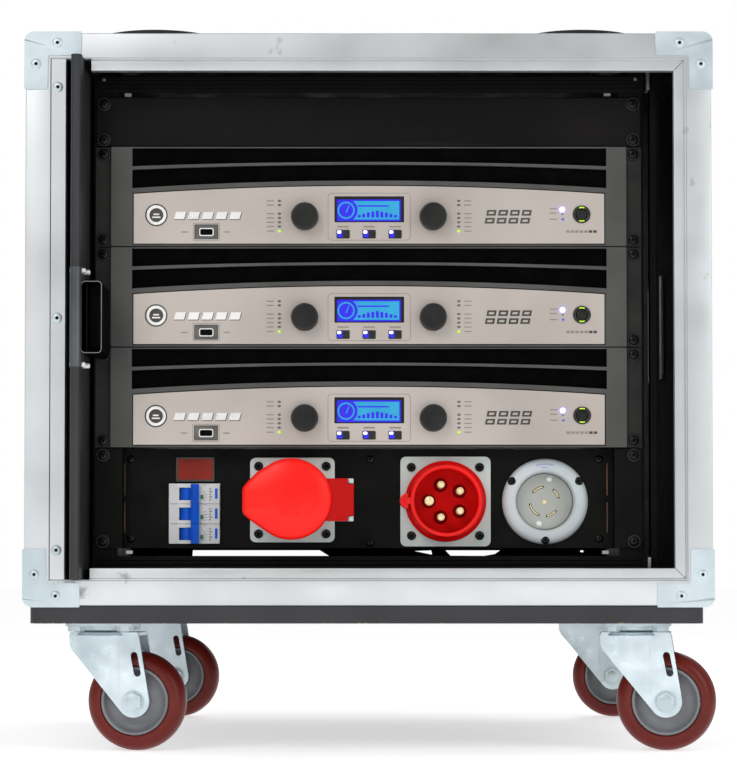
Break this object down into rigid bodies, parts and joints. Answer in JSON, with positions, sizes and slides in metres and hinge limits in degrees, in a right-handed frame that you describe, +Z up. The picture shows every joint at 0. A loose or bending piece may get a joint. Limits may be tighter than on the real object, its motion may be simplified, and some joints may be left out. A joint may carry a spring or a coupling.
{
  "type": "flight case amplifier rack",
  "caption": "Wheeled aluminium-framed flight case holding a shock-mounted rack of power amplifiers above a mains distribution panel",
  "frame": {"origin": "on the floor, midway across the case and midway in depth between the stowed door's front edge and the rear frame's face", "axes": "+X to the right and +Y to the back as seen from the open front, +Z up"},
  "size_m": [0.6054, 0.725, 0.638],
  "materials": {
    "case_laminate": "black laminate on plywood",
    "frame_aluminium": "satin anodised extrusion",
    "board": "painted charcoal, worn edges",
    "cup_plastic": "moulded",
    "rack_steel": "black powder coat",
    "amp_steel": "dark grey fine texture",
    "fascia_metal": "champagne silver metallic",
    "knob_plastic": "satin",
    "button_plastic": "gloss",
    "breaker_plastic": "light grey",
    "toggle_blue": "gloss",
    "connector_red": "gloss",
    "cover_red": "gloss",
    "outlet_nylon": "satin nylon",
    "door_laminate": "dark grey edge",
    "zinc_steel": "bright zinc plate",
    "grip_rubber": "matte",
    "wheel_tread": "dark red polyurethane"
  },
  "bodies": {
    "case": {"case_shell": "case_laminate", "front_frame": "frame_aluminium", "rear_frame": "frame_aluminium", "base_board": "board", "stacking_cup_front_left": "cup_plastic", "stacking_cup_front_right": "cup_plastic", "stacking_cup_rear_left": "cup_plastic", "stacking_cup_rear_right": "cup_plastic", "rack_frame": "rack_steel", "blank_panel": "rack_steel", "power_panel": "rack_steel", "door_track_bottom": "rack_steel", "door_track_top": "rack_steel", "amp_1_chassis": "amp_steel", "amp_1_fascia": "fascia_metal", "amp_2_chassis": "amp_steel", "amp_2_fascia": "fascia_metal", "amp_3_chassis": "amp_steel", "amp_3_fascia": "fascia_metal", "breaker_body": "breaker_plastic", "covered_socket": "connector_red", "power_inlet": "connector_red", "locking_outlet": "outlet_nylon", "handle_dish_left": "zinc_steel", "handle_dish_right": "zinc_steel", "caster_plate_front_left": "zinc_steel", "caster_plate_front_right": "zinc_steel", "caster_plate_rear_left": "zinc_steel", "caster_plate_rear_right": "zinc_steel"},
    "amp_1_knob_left": {"amp_1_knob_left": "knob_plastic"},
    "amp_1_knob_right": {"amp_1_knob_right": "knob_plastic"},
    "amp_1_menu_button_left": {"amp_1_menu_button_left": "button_plastic"},
    "amp_1_menu_button_middle": {"amp_1_menu_button_middle": "button_plastic"},
    "amp_1_menu_button_right": {"amp_1_menu_button_right": "button_plastic"},
    "amp_1_power_button": {"amp_1_power_button": "button_plastic"},
    "amp_2_knob_left": {"amp_2_knob_left": "knob_plastic"},
    "amp_2_knob_right": {"amp_2_knob_right": "knob_plastic"},
    "amp_2_menu_button_left": {"amp_2_menu_button_left": "button_plastic"},
    "amp_2_menu_button_middle": {"amp_2_menu_button_middle": "button_plastic"},
    "amp_2_menu_button_right": {"amp_2_menu_button_right": "button_plastic"},
    "amp_2_power_button": {"amp_2_power_button": "button_plastic"},
    "amp_3_knob_left": {"amp_3_knob_left": "knob_plastic"},
    "amp_3_knob_right": {"amp_3_knob_right": "knob_plastic"},
    "amp_3_menu_button_left": {"amp_3_menu_button_left": "button_plastic"},
    "amp_3_menu_button_middle": {"amp_3_menu_button_middle": "button_plastic"},
    "amp_3_menu_button_right": {"amp_3_menu_button_right": "button_plastic"},
    "amp_3_power_button": {"amp_3_power_button": "button_plastic"},
    "breaker_toggle": {"breaker_toggle": "toggle_blue"},
    "socket_cover": {"socket_cover": "cover_red"},
    "pocket_door": {"pocket_door": "door_laminate"},
    "side_handle_left": {"side_handle_left": "grip_rubber"},
    "side_handle_right": {"side_handle_right": "grip_rubber"},
    "caster_front_left": {"caster_fork_front_left": "zinc_steel"},
    "wheel_front_left": {"caster_wheel_front_left": "wheel_tread"},
    "caster_front_right": {"caster_fork_front_right": "zinc_steel"},
    "wheel_front_right": {"caster_wheel_front_right": "wheel_tread"},
    "caster_rear_left": {"caster_fork_rear_left": "zinc_steel"},
    "wheel_rear_left": {"caster_wheel_rear_left": "wheel_tread"},
    "caster_rear_right": {"caster_fork_rear_right": "zinc_steel"},
    "wheel_rear_right": {"caster_wheel_rear_right": "wheel_tread"}
  },
  "joints": [
    {"name": "amp_1_knob_left_turn", "type": "hinge", "parent": "case", "child": "amp_1_knob_left", "pos_m": [-0.0562, -0.2898, 0.4711], "axis": [0, -1, 0], "continuous": true},
    {"name": "amp_1_knob_right_turn", "type": "hinge", "parent": "case", "child": "amp_1_knob_right", "pos_m": [0.057, -0.2898, 0.4711], "axis": [0, -1, 0], "continuous": true},
    {"name": "amp_1_menu_button_left_press", "type": "slide", "parent": "case", "child": "amp_1_menu_button_left", "axis": [0, 1, 0], "range_m": [0, 0.0012], "stiffness_N_per_m": 400, "springref_m": -0.0005},
    {"name": "amp_1_menu_button_middle_press", "type": "slide", "parent": "case", "child": "amp_1_menu_button_middle", "axis": [0, 1, 0], "range_m": [0, 0.0012], "stiffness_N_per_m": 400, "springref_m": -0.0005},
    {"name": "amp_1_menu_button_right_press", "type": "slide", "parent": "case", "child": "amp_1_menu_button_right", "axis": [0, 1, 0], "range_m": [0, 0.0012], "stiffness_N_per_m": 400, "springref_m": -0.0005},
    {"name": "amp_1_power_button_press", "type": "slide", "parent": "case", "child": "amp_1_power_button", "axis": [0, 1, 0], "range_m": [0, 0.0012], "stiffness_N_per_m": 400, "springref_m": -0.0005},
    {"name": "amp_2_knob_left_turn", "type": "hinge", "parent": "case", "child": "amp_2_knob_left", "pos_m": [-0.0562, -0.2898, 0.3822], "axis": [0, -1, 0], "continuous": true},
    {"name": "amp_2_knob_right_turn", "type": "hinge", "parent": "case", "child": "amp_2_knob_right", "pos_m": [0.057, -0.2898, 0.3822], "axis": [0, -1, 0], "continuous": true},
    {"name": "amp_2_menu_button_left_press", "type": "slide", "parent": "case", "child": "amp_2_menu_button_left", "axis": [0, 1, 0], "range_m": [0, 0.0012], "stiffness_N_per_m": 400, "springref_m": -0.0005},
    {"name": "amp_2_menu_button_middle_press", "type": "slide", "parent": "case", "child": "amp_2_menu_button_middle", "axis": [0, 1, 0], "range_m": [0, 0.0012], "stiffness_N_per_m": 400, "springref_m": -0.0005},
    {"name": "amp_2_menu_button_right_press", "type": "slide", "parent": "case", "child": "amp_2_menu_button_right", "axis": [0, 1, 0], "range_m": [0, 0.0012], "stiffness_N_per_m": 400, "springref_m": -0.0005},
    {"name": "amp_2_power_button_press", "type": "slide", "parent": "case", "child": "amp_2_power_button", "axis": [0, 1, 0], "range_m": [0, 0.0012], "stiffness_N_per_m": 400, "springref_m": -0.0005},
    {"name": "amp_3_knob_left_turn", "type": "hinge", "parent": "case", "child": "amp_3_knob_left", "pos_m": [-0.0562, -0.2898, 0.2933], "axis": [0, -1, 0], "continuous": true},
    {"name": "amp_3_knob_right_turn", "type": "hinge", "parent": "case", "child": "amp_3_knob_right", "pos_m": [0.057, -0.2898, 0.2933], "axis": [0, -1, 0], "continuous": true},
    {"name": "amp_3_menu_button_left_press", "type": "slide", "parent": "case", "child": "amp_3_menu_button_left", "axis": [0, 1, 0], "range_m": [0, 0.0012], "stiffness_N_per_m": 400, "springref_m": -0.0005},
    {"name": "amp_3_menu_button_middle_press", "type": "slide", "parent": "case", "child": "amp_3_menu_button_middle", "axis": [0, 1, 0], "range_m": [0, 0.0012], "stiffness_N_per_m": 400, "springref_m": -0.0005},
    {"name": "amp_3_menu_button_right_press", "type": "slide", "parent": "case", "child": "amp_3_menu_button_right", "axis": [0, 1, 0], "range_m": [0, 0.0012], "stiffness_N_per_m": 400, "springref_m": -0.0005},
    {"name": "amp_3_power_button_press", "type": "slide", "parent": "case", "child": "amp_3_power_button", "axis": [0, 1, 0], "range_m": [0, 0.0012], "stiffness_N_per_m": 400, "springref_m": -0.0005},
    {"name": "breaker_throw", "type": "hinge", "parent": "case", "child": "breaker_toggle", "pos_m": [-0.161, -0.265, 0.2094], "axis": [0, 0, 1], "range_deg": [-70, 0]},
    {"name": "socket_cover_hinge", "type": "hinge", "parent": "case", "child": "socket_cover", "pos_m": [-0.0155, -0.3085, 0.221], "axis": [0, 0, 1], "range_deg": [0, 110], "stiffness_Nm_per_rad": 0.06, "springref_deg": -20.05},
    {"name": "door_slide", "type": "slide", "parent": "case", "child": "pocket_door", "axis": [0, -1, 0], "range_m": [0, 0.42]},
    {"name": "side_handle_left_lift", "type": "hinge", "parent": "case", "child": "side_handle_left", "pos_m": [-0.29, 0.02, 0.431], "axis": [0, 1, 0], "range_deg": [0, 90], "stiffness_Nm_per_rad": 0.12, "springref_deg": -17.19},
    {"name": "side_handle_right_lift", "type": "hinge", "parent": "case", "child": "side_handle_right", "pos_m": [0.29, 0.02, 0.431], "axis": [0, -1, 0], "range_deg": [0, 90], "stiffness_Nm_per_rad": 0.12, "springref_deg": -17.19},
    {"name": "caster_front_left_swivel", "type": "hinge", "parent": "case", "child": "caster_front_left", "pos_m": [-0.2345, -0.2605, 0.1035], "axis": [0, 0, 1], "continuous": true},
    {"name": "wheel_front_left_roll", "type": "hinge", "parent": "caster_front_left", "child": "wheel_front_left", "pos_m": [-0.20472, -0.26416, 0.044], "axis": [0.1219, 0.9925, 0], "continuous": true},
    {"name": "caster_front_right_swivel", "type": "hinge", "parent": "case", "child": "caster_front_right", "pos_m": [0.2345, -0.2605, 0.1035], "axis": [0, 0, 1], "continuous": true},
    {"name": "wheel_front_right_roll", "type": "hinge", "parent": "caster_front_right", "child": "wheel_front_right", "pos_m": [0.26428, -0.26416, 0.044], "axis": [0.1219, 0.9925, 0], "continuous": true},
    {"name": "caster_rear_left_swivel", "type": "hinge", "parent": "case", "child": "caster_rear_left", "pos_m": [-0.2345, 0.2845, 0.1035], "axis": [0, 0, 1], "continuous": true},
    {"name": "wheel_rear_left_roll", "type": "hinge", "parent": "caster_rear_left", "child": "wheel_rear_left", "pos_m": [-0.20472, 0.28084, 0.044], "axis": [0.1219, 0.9925, 0], "continuous": true},
    {"name": "caster_rear_right_swivel", "type": "hinge", "parent": "case", "child": "caster_rear_right", "pos_m": [0.2345, 0.2845, 0.1035], "axis": [0, 0, 1], "continuous": true},
    {"name": "wheel_rear_right_roll", "type": "hinge", "parent": "caster_rear_right", "child": "wheel_rear_right", "pos_m": [0.26428, 0.28084, 0.044], "axis": [0.1219, 0.9925, 0], "continuous": true}
  ]
}
